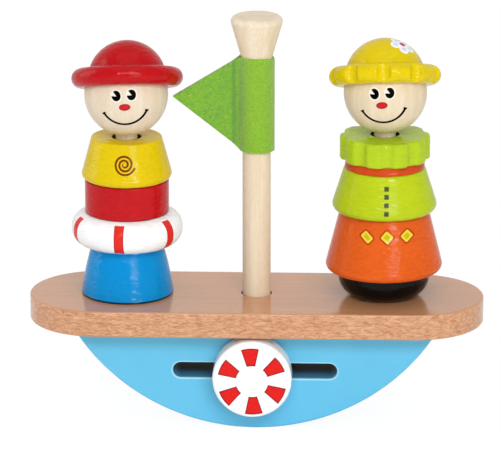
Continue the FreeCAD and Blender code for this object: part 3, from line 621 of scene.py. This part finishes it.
# Pennant: pressed wool felt, cut in one piece, folded round the mast and glued to itself
felt = {
    "thick": 1.3, "bottom": 134.0, "height": 46.5, "tip": -40.1, "tipRise": 26.0, "root": -7.0,
    "loop": 7.80, "centre": 0.2, "join": 26.0,      # round the mast, and where the layers meet, in degrees
    "layer": 0.72, "blendFrom": -12.0, "blendPower": 2.6,
    "dip": 2.0, "dipReach": 5.0,                    # the top edge sags at the fold
    "columns": 120, "rows": 28,
}
joinAngle = math.radians(felt["join"])
joinX = felt["centre"] - felt["loop"] * math.cos(joinAngle)
joinY = felt["loop"] * math.sin(joinAngle)
runLength = joinX - felt["tip"]
halfLength = runLength + felt["loop"] * (math.pi - joinAngle)


def feltPath(s):
    # the felt's middle line seen from above, s from 0 at the front tip to 1 at the back tip
    side = -1 if s <= 0.5 else 1
    distance = (s if s <= 0.5 else 1 - s) * 2 * halfLength
    if distance < runLength:
        x = felt["tip"] + distance
        ease = max(0.0, (x - felt["blendFrom"]) / (joinX - felt["blendFrom"]))
        return x, side * (felt["layer"] + (joinY - felt["layer"]) * ease ** felt["blendPower"])
    angle = joinAngle + (distance - runLength) / felt["loop"]
    return felt["centre"] - felt["loop"] * math.cos(angle), side * felt["loop"] * math.sin(angle)


bpy.ops.object.select_all(action="DESELECT")
bpy.ops.mesh.primitive_grid_add(x_subdivisions=felt["columns"], y_subdivisions=felt["rows"], size=2)
pennant = bpy.context.object
pennant.name = pennant.data.name = "felt_pennant"
for vertex in pennant.data.vertices:
    s, t = (vertex.co.x + 1) / 2, (vertex.co.y + 1) / 2
    x, y = feltPath(s)
    share = min(1.0, max(0.0, (x - felt["tip"]) / (felt["root"] - felt["tip"])))
    low = felt["tipRise"] * (1 - share)
    high = felt["tipRise"] + (felt["height"] - felt["tipRise"]) * share
    around = abs(s - 0.5) * 2 * halfLength
    high -= felt["dip"] * math.exp(-(around / felt["dipReach"]) ** 2)
    vertex.co = Vector((x, y, felt["bottom"] + low + (high - low) * t)) * mm
solid = pennant.modifiers.new("thickness", "SOLIDIFY")
solid.thickness = felt["thick"] * mm
solid.offset = 0.0
bpy.ops.object.modifier_apply(modifier=solid.name)
bpy.ops.object.shade_smooth_by_angle(angle=math.radians(50))

# Pressed wool felt is matt and fuzzy, with short fibres that lie every way and small darker clumps
feltColours = {
    "green": "#76AD2D", "clumps": "#68A438", "sleeve": "#88B81E", "pale": "#96C634", "dark": "#52902E",
    "crease": "#4E8440", "creaseAt": -10.9,
    "fibresPerMm": (0.9, 0.9, 0.9),        # a fibre is too fine to show, so these are tufts 1 mm across
    "clumpsPerMm": (0.16, 0.16, 0.16),     # clumps 6 mm across
    "fuzz": 0.45, "roughness": 0.95, "sheen": 0.35, "sheenRoughness": 0.5,
}
feltLook = startMaterial("green_wool_felt", feltColours["green"])
tree = feltLook["tree"]
fibres = stretched(feltLook, feltColours["fibresPerMm"], detail=5, roughness=0.7, distortion=1.5)
clumps = stretched(feltLook, feltColours["clumpsPerMm"], detail=3, distortion=0.6)
tint(feltLook, ranged(tree, clumps, 0.40, 0.68, 0.0, 0.8), feltColours["clumps"])
crossways = addNode(tree, "SeparateXYZ", [feltLook["spot"]]).outputs[0]
tint(feltLook, ranged(tree, crossways, -8.5, -4.0, 0.0, 0.75), feltColours["sleeve"])   # paler and yellower towards the sleeve round the mast
tint(feltLook, ranged(tree, fibres, 0.50, 0.64, 0.0, 0.8), feltColours["pale"])
tint(feltLook, ranged(tree, fibres, 0.46, 0.34, 0.0, 0.8), feltColours["dark"])
fromCrease = addNode(tree, "Math", [crossways, feltColours["creaseAt"]], operation="SUBTRACT")
fromCrease = addNode(tree, "Math", [fromCrease], operation="ABSOLUTE")
tint(feltLook, ranged(tree, fromCrease, 1.6, 0.2, 0.0, 0.55), feltColours["crease"])    # painted shade in the crease where the layers are glued, beside the mast
addBump(feltLook, fibres, feltColours["fuzz"], 0.8)
finishMaterial(feltLook, feltColours["roughness"], Sheen_Weight=feltColours["sheen"],
               Sheen_Roughness=feltColours["sheenRoughness"])
pennant.data.materials.append(feltLook["material"])
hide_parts("pennant")
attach(pennant, "hull")

# Studio: white paper floor, a wide softbox above the camera, a low strip for the streaks, and soft fill
studio = {
    "floorSize": 14.0, "floorLevel": -0.00002,
    "paper": "#F8F8F8",
    "glow": 1.04, "glowShare": 0.9,        # the camera sees white paper, with a tenth of its real shading
    "room": (0.42, 0.85),                  # the room in front of the toy is dimmer than the one behind it
    "lamps": [
        # name, azimuth from the front, elevation, distance, width, height, watts
        ("front softbox", 9, 34, 1.7, 1.30, 0.46, 13.0),
        ("low strip", 23, 10, 1.7, 0.66, 0.12, 4.8),
        ("left softbox", -98, 20, 1.6, 0.90, 1.2, 5.5),
        ("top softbox", 10, 80, 1.8, 1.6, 1.6, 4.2),
    ],
    "aim": (0.0, 0.0, 0.11),
}
white = (1, 1, 1, 1)
bpy.ops.object.select_all(action="DESELECT")
bpy.ops.mesh.primitive_plane_add(size=studio["floorSize"], location=(0, 0, studio["floorLevel"]))
floor = bpy.context.object
floor.name = "floor"
floorLook = bpy.data.materials.new("matt_white_paper")
floorLook.use_nodes = True
tree = floorLook.node_tree
tree.nodes.clear()
paper = addNode(tree, "BsdfDiffuse", {"Color": linearColour(studio["paper"])})
glow = addNode(tree, "Emission", {"Color": white, "Strength": studio["glow"]})
seen = addNode(tree, "LightPath").outputs["Is Camera Ray"]
share = addNode(tree, "Math", [seen, studio["glowShare"]], operation="MULTIPLY")
mixed = addNode(tree, "MixShader", [share, paper, glow])
addNode(tree, "OutputMaterial", [mixed])
floor.data.materials.append(floorLook)

for name, azimuth, elevation, distance, width, height, watts in studio["lamps"]:
    lampData = bpy.data.lights.new(name, "AREA")
    lampData.shape = "RECTANGLE"
    lampData.size, lampData.size_y = width, height
    lampData.energy = watts
    lamp = bpy.data.objects.new(name, lampData)
    scene.collection.objects.link(lamp)
    swing, lift = math.radians(azimuth), math.radians(elevation)
    away = Vector((math.sin(swing) * math.cos(lift), -math.cos(swing) * math.cos(lift), math.sin(lift)))
    lamp.location = Vector(studio["aim"]) + away * distance
    lamp.rotation_euler = (-away).to_track_quat("-Z", "Y").to_euler()

world = bpy.data.worlds.new("studio")
scene.world = world
world.use_nodes = True
tree = world.node_tree
tree.nodes.clear()
seen = addNode(tree, "LightPath").outputs["Is Camera Ray"]
direction = addNode(tree, "SeparateXYZ", [addNode(tree, "TexCoord").outputs["Generated"]])
brightness = ranged(tree, direction.outputs[1], 0.2, 0.7, *studio["room"])
room = addNode(tree, "Background", {"Color": white, "Strength": brightness})
backdrop = addNode(tree, "Background", {"Color": white, "Strength": 1.0})
addNode(tree, "OutputWorld", [addNode(tree, "MixShader", [seen, room, backdrop])])
scene.view_settings.view_transform = "Standard"
print("studio done")
